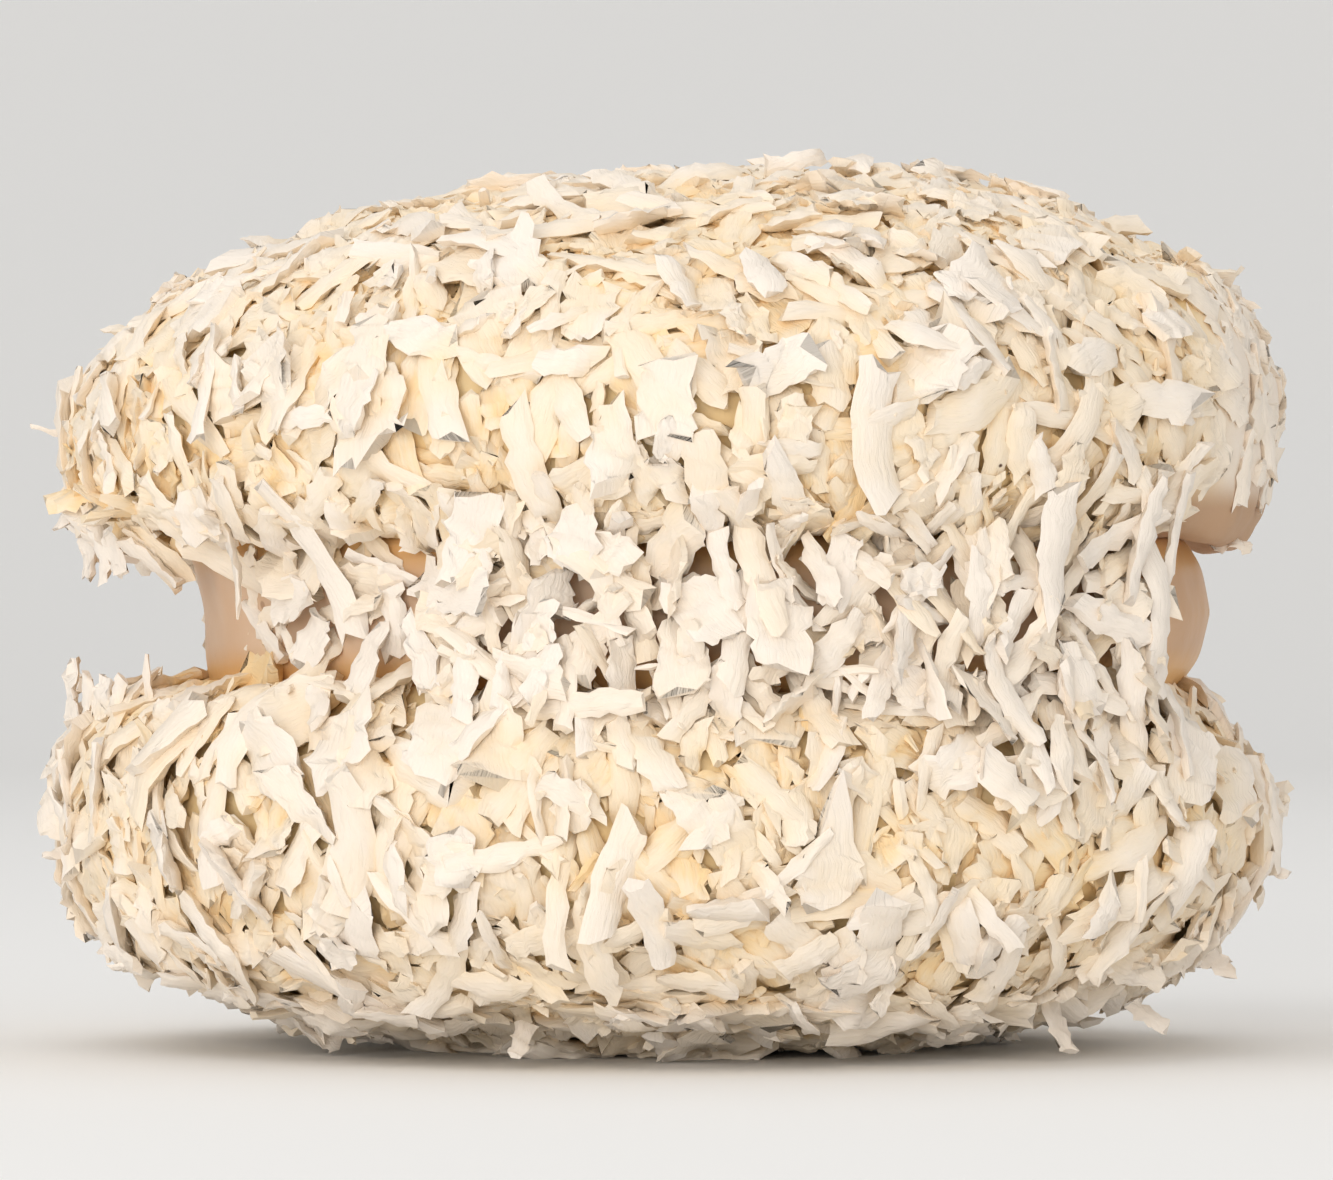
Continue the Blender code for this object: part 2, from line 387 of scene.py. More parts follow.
def torn_strip_tree():
    """Nodes that give each middle line a flat, cupped, uneven body with torn ends."""
    tree = bpy.data.node_groups.new("torn_strips", "GeometryNodeTree")
    for name, kind, value in (
        ("Lines", "NodeSocketGeometry", None),
        ("Rings", "NodeSocketInt", 14),
        ("Sides", "NodeSocketInt", 8),
        ("Thickness", "NodeSocketFloat", 0.4),
        ("Cup", "NodeSocketFloat", 0.1),
        ("Waviness", "NodeSocketFloat", 0.0002),
        ("Tear", "NodeSocketFloat", 0.3),
        ("Material", "NodeSocketMaterial", None),
    ):
        socket = tree.interface.new_socket(name=name, in_out="INPUT", socket_type=kind)
        if value is not None:
            socket.default_value = value
    tree.interface.new_socket(name="Mesh", in_out="OUTPUT", socket_type="NodeSocketGeometry")
    wire = Wire(tree)
    given = tree.nodes.new("NodeGroupInput")

    def asked(name):
        return Wire(tree, given.outputs[name])

    def named(name, kind="FLOAT"):
        return wire.new("GeometryNodeInputNamedAttribute", {"data_type": kind}, {"Name": name})

    def stored(geometry, name, value, kind="FLOAT", domain="POINT"):
        settings = {"data_type": kind, "domain": domain}
        sockets = {"Geometry": geometry, "Name": name, "Value": value}
        return wire.new("GeometryNodeStoreNamedAttribute", settings, sockets)

    lines = wire.new("GeometryNodeMeshToCurve", (), {"Mesh": asked("Lines")})
    smooth = {"spline_type": "CATMULL_ROM"}
    lines = wire.new("GeometryNodeCurveSplineType", smooth, {"Curve": lines})
    spaced = {"Curve": lines, "Count": asked("Rings")}
    lines = wire.new("GeometryNodeResampleCurve", {"mode": "COUNT"}, spaced)
    along = wire.new("GeometryNodeSplineParameter", (), (), "Factor")
    length = wire.new("GeometryNodeSplineParameter", (), (), "Length")
    lines = stored(lines, "along", along)
    lines = stored(lines, "run", length)
    lines = stored(lines, "way", wire.new("GeometryNodeInputTangent"), "FLOAT_VECTOR")
    seed = named("seed")
    place = wire.new("GeometryNodeInputPosition")
    uneven = {"Vector": place, "W": seed, "Scale": 2200.0, "Detail": 1.0}
    bulge = wire.new("ShaderNodeTexNoise", {"noise_dimensions": "4D"}, uneven)
    width = named("wide") * (0.55 + 0.9 * bulge)
    upright = {"Curve": lines, "Normal": named("up", "FLOAT_VECTOR")}
    lines = wire.new("GeometryNodeSetCurveNormal", {"mode": "FREE"}, upright)

    even_ring = {"Resolution": asked("Sides"), "Radius": 1.0}
    ring = wire.new("GeometryNodeCurvePrimitiveCircle", (), even_ring)
    flat = wire.new("ShaderNodeSeparateXYZ", (), {"Vector": place}, "X")
    tall = wire.new("ShaderNodeSeparateXYZ", (), {"Vector": place}, "Y")
    ring = stored(ring, "aside", flat)
    ring = stored(ring, "around", wire.new("GeometryNodeSplineParameter", (), (), "Factor"))
    cupped = tall * asked("Thickness") + asked("Cup") * (flat * flat - 0.5)
    shape = wire.new("ShaderNodeCombineXYZ", (), {"X": cupped, "Y": flat, "Z": 0.0})
    ring = wire.new("GeometryNodeSetPosition", (), {"Geometry": ring, "Position": shape})
    swept = {"Curve": lines, "Profile Curve": ring, "Scale": width, "Fill Caps": True}
    body = wire.new("GeometryNodeCurveToMesh", (), swept)

    along = named("along")
    aside = named("aside")
    near_start = 1 - (along / 0.16).clamped()
    near_end = 1 - ((1 - along) / 0.16).clamped()
    wide = named("wide")
    slant = aside * (named("slant_a") * near_start + named("slant_b") * near_end)
    torn = {"Vector": place, "W": seed, "Scale": 2600.0, "Detail": 1.0}
    ragged = wire.new("ShaderNodeTexNoise", {"noise_dimensions": "4D"}, torn)
    teeth = (ragged - 0.5) * asked("Tear") * 4.0 * (near_end - near_start)
    shove = wire.scaled(named("way", "FLOAT_VECTOR"), wide * (slant + teeth))
    body = wire.new("GeometryNodeSetPosition", (), {"Geometry": body, "Offset": shove})
    waves = {"Vector": place, "W": seed, "Scale": 2400.0, "Detail": 2.0, "Roughness": 0.6}
    wavy = wire.new("ShaderNodeTexNoise", {"noise_dimensions": "4D"}, waves, "Color")
    centred = wire.vector("SUBTRACT", wavy, (0.5, 0.5, 0.5))
    wobble = wire.scaled(centred, asked("Waviness") * 2.0)
    body = wire.new("GeometryNodeSetPosition", (), {"Geometry": body, "Offset": wobble})
    across = 1 - wire.maths("ABSOLUTE", 2.0 * named("around") - 1)
    grain = wire.new("ShaderNodeCombineXYZ", (), {"X": named("run"), "Y": aside * wide, "Z": 0.0})
    body = stored(body, "grain", grain, "FLOAT2", "CORNER")
    tile = wire.new(
        "ShaderNodeCombineXYZ",
        (),
        {
            "X": named("tile_x") + (0.12 + 0.76 * along) * named("tile_size"),
            "Y": named("tile_y") + (0.08 + 0.84 * across) * named("tile_size"),
            "Z": 0.0,
        },
    )
    body = stored(body, "OFBake", tile, "FLOAT2", "CORNER")
    body = wire.new("GeometryNodeSetShadeSmooth", (), {"Geometry": body, "Shade Smooth": True})
    body = wire.new("GeometryNodeRealizeInstances", (), {"Geometry": body})
    body = wire.new("GeometryNodeSetMaterial", (), {"Geometry": body, "Material": asked("Material")})
    tree.links.new(body.socket, tree.nodes.new("NodeGroupOutput").inputs[0])
    return tree


strip_tree = torn_strip_tree()

coconut, coconut_sockets, wire = food_material("dried_coconut")
grain = wire.new("ShaderNodeUVMap", {"uv_map": "grain"})
tint = wire.new("ShaderNodeAttribute", {"attribute_name": "tint"}, (), "Fac")
place = wire.new("ShaderNodeTexCoord", (), (), "Object")
stretched = wire.vector("MULTIPLY", grain, (1.0, 6.0, 1.0))
fibre = wire.noise(stretched, 900.0, 3.0, 0.6)
mottle = wire.noise(place, 700.0, 2.0)
# The mix factor holds each piece's random tone and its painted depth shade, with random mottle and
# fibre.
shade = (tint + 0.5 * (mottle - 0.5) + 0.3 * (fibre - 0.5)).clamped()
# Painted shade: low values, deep in the coat, turn the coconut golden, and the lowest a deep
# orange-gold; high values give its white.
flesh = wire.colour(shade, (0.96, 0.78, 0.53, 1.0), (0.955, 0.865, 0.765, 1.0))
flesh = wire.colour(shade.rise(0.0, 0.28), (0.97, 0.72, 0.40, 1.0), flesh)
husk = wire.new("ShaderNodeAttribute", {"attribute_name": "speck"}, (), "Fac")
dots = wire.new("ShaderNodeTexVoronoi", (), {"Vector": place, "Scale": 800.0}, "Distance")
speck = husk * (1 - dots.rise(0.05, 0.09))
flesh = wire.colour(speck, flesh, (0.10, 0.05, 0.03, 1.0))
feed(coconut.node_tree, flesh, coconut_sockets["Base Color"])
feed(coconut.node_tree, 0.52 + 0.2 * (fibre - 0.5), coconut_sockets["Roughness"])
feed(coconut.node_tree, wire.bump(fibre, 0.00010, 0.8), coconut_sockets["Normal"])
coconut_sockets["Specular IOR Level"].default_value = 0.35


class Bed:
    """Places over a surface, each with how deep the coconut has piled up on it so far."""

    def __init__(self, places, normals, height=0.0):
        self.places = places
        self.normals = normals
        self.height = np.zeros(len(places)) + height
        self.tree = KDTree(len(places))
        for index, spot in enumerate(places):
            self.tree.insert(spot, index)
        self.tree.balance()

    def near(self, spot, reach):
        return np.array([index for _, index, _ in self.tree.find_range(spot, reach)])


class Pile:
    """The pieces of one kind laid so far, as arrays that the node tree's mesh is made from."""

    def __init__(self, thickness, rings, sides, cup, waviness, tear):
        self.thickness = thickness
        self.rings = rings
        self.sides = sides
        self.cup = cup
        self.waviness = waviness
        self.tear = tear
        self.spines = []
        self.widths = []
        self.ups = []
        self.tones_and_depth_shades = []
        self.specks = []
        self.slants = []
        self.covers = []


LIFT_SHARE = 0.15  # how many pieces have an end standing up
MOST_BEND = 70.0  # how far a piece gives to what lies under it, as the bend of a parabola
SINK = 0.00010  # how far it settles into what lies under it
LEFT_LEEWAY = 0.0022  # how much further the coat may reach past the rims at -X
RIGHT_LEEWAY = 0.0010  # and at +X


class Rule:
    """How pieces come to rest: their most slope, the share of the bed below that bears them,
    how far they stand out at most, the heights they stay between, and how much they roll."""

    def __init__(self, steepest, share, ceiling, lowest, highest, roll):
        self.steepest = steepest
        self.share = share
        self.ceiling = ceiling
        self.lowest = lowest
        self.highest = highest
        self.roll = roll


SHELL_PIECES = 4700  # how many fall on each shell, with those that end up buried
TOP_PIECES = 620  # the last of them, which lie loose on top
FRINGE_PIECES = 120  # how many hang over the upper shell's rim
BARE_UNDER = 0.0202  # the bare end carries nothing below this height
ON_UPPER = Rule(0.40, 30, 0.0012, INNER_UP - 0.0003, 1.0, 0.06)
ON_LOWER = Rule(0.40, 35, 0.0015, -1.0, INNER_LOW + 0.0002, 0.14)
LOOSE_ON_UPPER = Rule(0.50, 55, 0.0016, INNER_UP - 0.0003, 1.0, 0.25)
LOOSE_ON_LOWER = Rule(0.50, 60, 0.0019, -1.0, INNER_LOW + 0.0002, 0.35)
AT_RIM = Rule(0.50, 50, 0.0027, INNER_UP - 0.0012, 1.0, 0.30)


def settle(bed, at, heading, length, width, thick, curl, swerve, lift, rule):
    """Lays a stiff curved strip on the bed: its middle line, its upward side, and what it covers."""
    normal = bed.normals[at]
    ahead = heading - normal * heading.dot(normal)
    ahead /= np.linalg.norm(ahead)
    across = np.cross(normal, ahead)
    near = bed.near(bed.places[at], length / 2 + width)
    offset = bed.places[near] - bed.places[at]
    along = offset @ ahead
    aside = offset @ across
    rise = offset @ normal
    facing = bed.normals[near] @ normal
    reach = width / 2 + 0.0002
    under = (np.abs(along) < length / 2) & (np.abs(aside) < reach) & (facing > 0.35)
    near, along, aside = near[under], along[under], aside[under]
    rise, facing = rise[under], facing[under]
    support = rise + bed.height[near] * facing
    bend, slope = 0.0, 0.0
    if len(near) > 5:
        bend, slope, _ = np.polyfit(along, support, 2)
        bend = float(np.clip(bend, -MOST_BEND, MOST_BEND))
        slope = float(np.clip(slope, -rule.steepest, rule.steepest))
    curl += bend
    clear = support - slope * along - curl * along**2
    seat = np.percentile(clear, rule.share) - SINK if len(clear) else 0.0
    run = np.linspace(-length / 2, length / 2, SPINE_POINTS)
    raised = abs(lift) * length * 0.3
    level = seat + raised + (slope + lift) * run + curl * run**2 + thick * 0.45
    side = swerve * (run**2 - (length / 2) ** 2 / 3)
    spine = bed.places[at] + np.outer(run, ahead) + np.outer(level, normal)
    spine += np.outer(side, across)
    x = bed.places[at][0]
    leeway = LEFT_LEEWAY * smooth_rise(-x, 0.0150, 0.0190)
    leeway += RIGHT_LEEWAY * smooth_rise(x, 0.0150, 0.0190)
    if level.max() > rule.ceiling or spine[:, 2].min() < rule.lowest - leeway:
        return None
    if spine[:, 2].max() > rule.highest + leeway * 0.5:
        return None
    body = (np.abs(aside) < width * 0.45) & (np.abs(along) < length * 0.48)
    near, along, rise, facing = near[body], along[body], rise[body], facing[body]
    top = seat + slope * along + curl * along**2 + thick * 0.85
    grown = (top - rise) / np.maximum(facing, 0.7)
    bed.height[near] = np.maximum(bed.height[near], grown)
    slope += lift
    up = normal - ahead * slope
    return spine, up / np.linalg.norm(up), (near, grown)


def lay(bed, pile, at, heading, length, width, lift, rule):
    thick = width * pile.thickness
    curl = chance.normal(0.0, 50.0)
    swerve = chance.normal(0.0, 45.0)
    settled = settle(bed, at, heading, length, width, thick, curl, swerve, lift, rule)
    if settled is None:
        return
    spine, up, cover = settled
    run = np.linspace(0.0, 1.0, SPINE_POINTS)
    is_sharp = chance.random(2) < 0.15
    ends = np.where(is_sharp, chance.uniform(0.2, 0.5, 2), chance.uniform(0.65, 1.1, 2))
    power = chance.uniform(1.0, 3.5)
    taper = 1 - (1 - ends[0]) * np.clip(1 - run / 0.5, 0, 1) ** power
    taper *= 1 - (1 - ends[1]) * np.clip(1 - (1 - run) / 0.5, 0, 1) ** power
    twist = chance.normal(0.0, 0.5)
    ahead = (spine[-1] - spine[0]) / np.linalg.norm(spine[-1] - spine[0])
    across = np.cross(up, ahead)
    roll = chance.normal(0.0, rule.roll) + twist * (run - 0.5)
    ups = np.outer(np.cos(roll), up) + np.outer(np.sin(roll), across)
    pile.spines.append(spine)
    pile.widths.append(width / 2 * taper)
    pile.ups.append(ups)
    pile.tones_and_depth_shades.append(chance.beta(2.2, 1.6))
    pile.specks.append(float(chance.random() < 0.02))
    pile.slants.append(chance.normal(0.0, 0.40, 2))
    pile.covers.append(cover)


def swept(name, pile, keep):
    """One plain mesh of all the pile's pieces that keep lists, with painted shade that makes them
    more golden low in the coat.
    """
    count = len(keep)
    spines = np.array(pile.spines)[keep]
    mesh = bpy.data.meshes.new(name)
    mesh.vertices.add(count * SPINE_POINTS)
    mesh.vertices.foreach_set("co", spines.ravel())
    first = np.arange(count * SPINE_POINTS).reshape(count, SPINE_POINTS)
    links = np.stack([first[:, :-1], first[:, 1:]], 2)
    mesh.edges.add(links.size // 2)
    mesh.edges.foreach_set("vertices", links.ravel())
    tiles = math.ceil(math.sqrt(count))
    number = np.arange(count)
    slants = np.array(pile.slants)[keep]
    values = {
        "wide": np.array(pile.widths)[keep],
        "tint": np.array(pile.tones_and_depth_shades)[keep][:, None] + np.zeros(SPINE_POINTS),
        "speck": np.array(pile.specks)[keep][:, None] + np.zeros(SPINE_POINTS),
        "slant_a": slants[:, :1] + np.zeros(SPINE_POINTS),
        "slant_b": slants[:, 1:] + np.zeros(SPINE_POINTS),
        "seed": (np.array(keep) * 0.731 % 50)[:, None] + np.zeros(SPINE_POINTS),
        "tile_x": (number % tiles / tiles)[:, None] + np.zeros(SPINE_POINTS),
        "tile_y": (number // tiles / tiles)[:, None] + np.zeros(SPINE_POINTS),
        "tile_size": np.full((count, SPINE_POINTS), 1 / tiles),
    }
    for label, numbers in values.items():
        mesh.attributes.new(label, "FLOAT", "POINT").data.foreach_set("value", numbers.ravel())
    ups = np.array(pile.ups)[keep]
    mesh.attributes.new("up", "FLOAT_VECTOR", "POINT").data.foreach_set("vector", ups.ravel())
    piece = bpy.data.objects.new(name, mesh)
    bpy.context.scene.collection.objects.link(piece)
    modifier = piece.modifiers.new("strips", "NODES")
    modifier.node_group = strip_tree
    wanted = {
        "Rings": pile.rings,
        "Sides": pile.sides,
        "Thickness": pile.thickness,
        "Cup": pile.cup,
        "Waviness": pile.waviness,
        "Tear": pile.tear,
        "Material": coconut,
    }
    for socket in strip_tree.interface.items_tree:
        if socket.name in wanted:
            modifier[socket.identifier] = wanted[socket.name]
    plain(piece)
    places = array_of(piece.data.vertices, "co", 3)
    places[:, 2] = np.maximum(places[:, 2], 0.0)
    piece.data.vertices.foreach_set("co", places.ravel())
    tint = piece.data.attributes["tint"].data
    tones_and_depth_shades = array_of(tint, "value", 1).ravel()
    # Painted shade: the nearer a vertex lies to the shell, the lower its tone, so the coconut's
    # colour turns golden deep in the coat.
    depths = np.array([cores.find_nearest(spot)[3] for spot in places.tolist()])
    tones_and_depth_shades *= 0.15 + 0.85 * smooth_rise(depths, 0.0001, COAT_DEPTH + 0.0004)
    # The pieces on the bare end keep a pale tone, free of this painted shade.
    tones_and_depth_shades = np.maximum(tones_and_depth_shades, 0.85 * bare_end(places))
    tint.foreach_set("value", tones_and_depth_shades)
    for label in ("along", "run", "way", "wide", "aside", "around", "seed", "up"):
        if label in piece.data.attributes:
            piece.data.attributes.remove(piece.data.attributes[label])
    spread_caps(piece.data, tiles)
    piece.data.set_sharp_from_angle(angle=math.radians(50))
    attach(piece, "root")
    return piece


def spread_caps(mesh, tiles):
    """Gives the end faces their own spots in the bake map, beside their strip's sides."""
    loops = mesh.uv_layers["OFBake"].uv
    spots = array_of(loops, "vector", 2)
    corners = array_of(mesh.polygons, "loop_total", 1).ravel().astype(int)
    starts = array_of(mesh.polygons, "loop_start", 1).ravel().astype(int)
    caps = np.flatnonzero(corners > 4)
    sides = corners[caps[0]]
    around = np.arange(sides)
    numbers = starts[caps][:, None] + around
    tile = spots[numbers[:, 0]] * tiles
    in_tile = tile % 1.0
    aside = np.where(in_tile[:, 0] < 0.5, 0.06, 0.94)
    middle = np.floor(tile) + np.stack([aside, np.full(len(caps), 0.5)], 1)
    turn = 2 * math.pi * around / sides
    round_spot = np.stack([np.cos(turn), np.sin(turn)], 1) * 0.045
    spots[numbers] = (middle[:, None, :] + round_spot[None]) / tiles
    loops.foreach_set("vector", spots.ravel())


def downhill(normal):
    """The steepest way down a surface with this normal."""
    way = np.array([0.0, 0.0, -1.0]) + normal * normal[2]
    size = np.linalg.norm(way)
    return way / size if size > 1e-6 else np.array([1.0, 0.0, 0.0])


def cover_shell(shell, is_upper, pieces):
    """Sprinkles the pieces over a shell and returns its bed and the piles of each kind."""
    places = array_of(shell.data.vertices, "co", 3)
    normals = array_of(shell.data.vertex_normals, "vector", 3)
    cover = coat_cover(places, is_upper)
    bed = Bed(places, normals)
    piles = {
        "shreds": Pile(0.44, 10, 6, 0.12, 0.00032, 0.7),
        "flakes": Pile(0.22, 10, 10, 0.22, 0.00046, 0.5),
        "slivers": Pile(0.60, 6, 5, 0.05, 0.00024, 0.7),
    }
    weights = cover**2
    weights /= weights.sum()
    bare = bare_end(places)
    rim = np.hypot(places[:, 0], places[:, 1]) > RIM_RADIUS - 0.0028
    rim &= np.abs(places[:, 2] - INNER_UP) < 0.0017
    picks = chance.choice(len(places), size=(pieces, 5), p=weights)
    kinds = chance.random(pieces)
    for number in range(pieces):
        choice = picks[number]
        at = int(choice[np.argmin(bed.height[choice] + chance.random(5) * 0.0002)])
        rule = ON_UPPER if is_upper else ON_LOWER
        on_top = number > pieces - TOP_PIECES
        if on_top:
            rule = LOOSE_ON_UPPER if is_upper else LOOSE_ON_LOWER
            at = int(choice[0])
        normal = bed.normals[at]
        down = downhill(normal)
        sideways = np.cross(normal, down)
        steep = 1 - abs(normal[2])
        if chance.random() < 0.25 + 0.4 * steep:
            turn = chance.normal(0.0, 0.5)
        else:
            turn = chance.uniform(0.0, math.pi)
        heading = down * math.cos(turn) + sideways * math.sin(turn)
        lift = chance.normal(0.0, 0.22) if chance.random() < LIFT_SHARE else 0.0
        if is_upper and bare[at] > 0.2:
            rule = ON_UPPER
            lift = 0.0
            if chance.random() < (0.9 if on_top else 0.15) or bed.places[at][2] < BARE_UNDER:
                continue
        if kinds[number] < (0.62 if on_top else 0.45):
            length = float(np.clip(chance.lognormal(math.log(0.0028), 0.34), 0.0013, 0.0062))
            width = float(np.clip(chance.lognormal(math.log(0.00084), 0.32), 0.00045, 0.0015))
            lay(bed, piles["shreds"], at, heading, length, width, lift, rule)
        elif kinds[number] < (0.92 if on_top else 0.68):
            length = chance.uniform(0.0013, 0.0030)
            width = length * chance.uniform(0.45, 1.0)
            lay(bed, piles["flakes"], at, heading, length, width, lift, rule)
        else:
            length = chance.uniform(0.0006, 0.0024)
            width = chance.uniform(0.0002, 0.00055)
            lay(bed, piles["slivers"], at, heading, length, width, lift, rule)
    if is_upper:
        hang_fringe(bed, piles, np.flatnonzero(rim))
    return bed, piles


def hang_fringe(bed, piles, rim):
    """Pieces that hang down over the rim in front of the cream."""
    turned = np.degrees(np.arctan2(bed.places[rim, 0], -bed.places[rim, 1]))
    bare = 1 - smooth_rise(np.abs(turned - 90), 24.0, 40.0)
    share = (1 - bare) / (1 - bare).sum()
    for at in chance.choice(rim, size=FRINGE_PIECES, p=share):
        turn = chance.normal(0.0, 0.30)
        down = downhill(bed.normals[at])
        heading = down * math.cos(turn) + np.cross(bed.normals[at], down) * math.sin(turn)
        length = chance.uniform(0.0018, 0.0040)
        width = chance.uniform(0.0005, 0.0011)
        lay(bed, piles["shreds"], int(at), heading, length, width, 0.0, AT_RIM)


def stick_out(pile, start, end, width):
    """A piece that stands clear of the coat, from start in the coat to end, in millimetres."""
    start = np.array(start) * 0.001
    way = np.array(end) * 0.001 - start
    run = np.linspace(0.0, 1.0, SPINE_POINTS)
    out = np.array([start[0], start[1] - 0.010, 0.0])
    out -= way * (out @ way) / (way @ way)
    out /= np.linalg.norm(out)
    bow = chance.normal(0.0, 0.10) * np.linalg.norm(way)
    spine = start + np.outer(run, way) + np.outer(bow * (1 - (2 * run - 1) ** 2), out)
    pile.spines.append(spine)
    pile.widths.append(width * 0.0005 * (1 - 0.35 * run**2))
    pile.ups.append(np.tile(out, (SPINE_POINTS, 1)))
    pile.tones_and_depth_shades.append(0.85)
    pile.specks.append(0.0)
    pile.slants.append(chance.normal(0.0, 0.35, 2))
    pile.covers.append((np.array([], int), np.array([])))


# Pieces that show against the light round the edge: kind, where they start and end, width.
UPPER_STRAYS = (
    ("slivers", (-21.6, -1.0, 22.0), (-23.0, -1.4, 22.3), 0.28),
    ("flakes", (-21.3, -1.5, 18.9), (-20.9, -2.0, 16.9), 1.2),
    ("shreds", (-20.5, -4.0, 18.6), (-20.2, -4.5, 16.7), 0.9),
    ("flakes", (-19.9, -6.0, 18.5), (-19.5, -6.6, 17.0), 1.1),
    ("shreds", (-21.6, -0.5, 20.6), (-22.0, -0.5, 18.6), 1.1),
    ("flakes", (19.0, -4.5, 18.2), (20.5, -4.0, 18.0), 0.7),
    ("shreds", (3.2, -7.5, 31.2), (5.4, -7.0, 31.7), 0.8),
)
LOWER_STRAYS = (
    ("flakes", (-21.3, -1.5, 11.2), (-21.5, -1.8, 13.7), 1.3),
    ("shreds", (-20.9, -3.0, 11.6), (-20.8, -3.4, 13.3), 0.9),
    ("flakes", (-20.2, -4.5, 11.8), (-20.0, -4.8, 13.2), 1.3),
    ("shreds", (-19.8, -6.0, 11.9), (-19.4, -6.4, 13.3), 0.8),
    ("flakes", (-21.3, 1.5, 11.4), (-21.5, 1.8, 13.4), 1.4),
    ("slivers", (-18.4, -6.6, 12.4), (-18.5, -6.9, 14.1), 0.40),
    ("shreds", (-21.2, -1.5, 7.4), (-22.5, -1.8, 6.9), 0.6),
    ("shreds", (-19.0, -2.5, 4.4), (-20.3, -2.8, 3.5), 0.7),
    ("flakes", (13.2, -9.2, 2.4), (13.8, -10.6, 0.4), 1.0),
    ("shreds", (20.6, -3.0, 6.8), (21.9, -3.2, 6.2), 0.6),
    ("flakes", (18.4, -5.0, 3.8), (19.8, -5.3, 3.0), 1.1),
    ("shreds", (16.2, -6.4, 1.8), (17.5, -6.8, 0.9), 0.8),
    ("shreds", (-5.0, -14.6, 1.4), (-5.4, -15.9, 0.4), 0.8),
)


def seen_pieces(bed, pile):
    """Numbers of the pieces that aren't buried. Those that lie deeper get a lower tone, a painted
    shade that makes them more golden.
    """
    kept = []
    for number, (near, grown) in enumerate(pile.covers):
        deeper = bed.height[near] - grown
        if len(near) and np.mean(deeper < 0.0001) <= 0.08:
            continue
        depth = np.mean(deeper) if len(near) else 0.0
        # Painted shade: the deeper a piece lies under its neighbours, the lower its tone.
        pile.tones_and_depth_shades[number] = 0.75 + 0.35 * pile.tones_and_depth_shades[number] - 0.7 * min(1.0, depth / 0.0008)
        kept.append(number)
    return kept


def tree_of(pieces):
    """All these pieces' faces as one tree for finding the nearest and the first hit."""
    corners, faces = [], []
    for piece in pieces:
        start = len(corners)
        corners.extend(vertex.co.copy() for vertex in piece.data.vertices)
        faces.extend([start + corner for corner in face.vertices] for face in piece.data.polygons)
    return BVHTree.FromPolygons(corners, faces)


cores = tree_of(shells.values())
coat_pieces = []
for shell_name, is_upper in (("upper_batter", True), ("lower_batter", False)):
    bed, piles = cover_shell(shells[shell_name], is_upper, SHELL_PIECES)
    which = "upper" if is_upper else "lower"
    for kind, start, end, width in UPPER_STRAYS if is_upper else LOWER_STRAYS:
        stick_out(piles[kind], start, end, width)
    for kind, pile in piles.items():
        keep = seen_pieces(bed, pile)
        piece = swept(f"{which}_{kind}", pile, keep)
        coat_pieces.append(piece)


# === Coconut in the waist ==================================================================
# Loose shreds have gathered in the groove between the shells. They lean on the cream and on
# each other, and some bridge the groove from rim to rim. The cream stays bare at the left
# and at the right end.
# The larger pieces: kind, turn from the front in degrees, height, lean from upright in
# degrees, length and width.
BRIDGES = (
    ("shreds", -38, 0.0173, -16, 0.0053, 0.0010),
    ("shreds", -32, 0.0172, 112, 0.0027, 0.0006),
    ("shreds", -54, 0.0149, 124, 0.0037, 0.0008),
    ("flakes", -45, 0.0159, 80, 0.0022, 0.0015),
    ("flakes", -42, 0.0146, 30, 0.0020, 0.0014),
    ("shreds", -31, 0.0155, 0, 0.0024, 0.0010),
    ("flakes", -26, 0.0144, -25, 0.0026, 0.0013),
    ("flakes", -33, 0.0139, 0, 0.0023, 0.0014),
    ("flakes", -22, 0.0165, 100, 0.0034, 0.0014),
    ("flakes", -19, 0.0180, 20, 0.0029, 0.0019),
    ("flakes", -13, 0.0149, 0, 0.0017, 0.0015),
    ("flakes", -9, 0.0180, 10, 0.0022, 0.0018),
    ("shreds", -20, 0.0132, 0, 0.0025, 0.0009),
    ("shreds", -16, 0.0132, 6, 0.0019, 0.0006),
    ("shreds", -12, 0.0137, 25, 0.0021, 0.0009),
    ("flakes", 16, 0.0172, 15, 0.0026, 0.0011),
    ("flakes", 24, 0.0167, 90, 0.0016, 0.0012),
    ("shreds", 30, 0.0160, 0, 0.0032, 0.0010),
    ("shreds", 34, 0.0153, 35, 0.0025, 0.0009),
    ("shreds", 36, 0.0168, 82, 0.0029, 0.0006),
    ("shreds", 38, 0.0179, 0, 0.0043, 0.0014),
    ("shreds", 47, 0.0182, 65, 0.0042, 0.0009),
    ("shreds", 47, 0.0152, -70, 0.0036, 0.0010),
    ("shreds", 50, 0.0181, 8, 0.0043, 0.0011),
    ("shreds", 53, 0.0157, 0, 0.0043, 0.0012),
    ("shreds", 56, 0.0180, 3, 0.0048, 0.0007),
    ("shreds", 57, 0.0138, 35, 0.0032, 0.0009),
)
DEEP_IN_GROOVE = Rule(0.7, 45, 0.0055, -1.0, 1.0, 0.25)
IN_GROOVE = Rule(0.9, 60, 0.0062, -1.0, 1.0, 0.45)
BRIDGING = Rule(1.2, 80, 0.0072, -1.0, 1.0, 0.18)
GROOVE_PIECES = 3600
GROOVE_STEP = 0.00035  # spacing of the places where the groove's depth is felt
GROOVE_RADIUS = 0.0160  # depths are counted from here outwards


def groove_fill(turned):
    """How full the groove is at each turn, in degrees from the front towards +X."""
    left = 0.02 * smooth_rise(turned, -64.0, -50.0)
    front = np.maximum(left, smooth_rise(turned, -28.0, -10.0))
    front *= 1 - smooth_rise(turned, 46.0, 58.0)
    back = 0.5 + 0.5 * np.cos(np.radians(turned * 3 + 40.0))
    behind = smooth_rise(np.abs(turned), 118.0, 135.0)
    return np.clip(front + behind * smooth_rise(back, 0.25, 0.8), 0.0, 1.0)


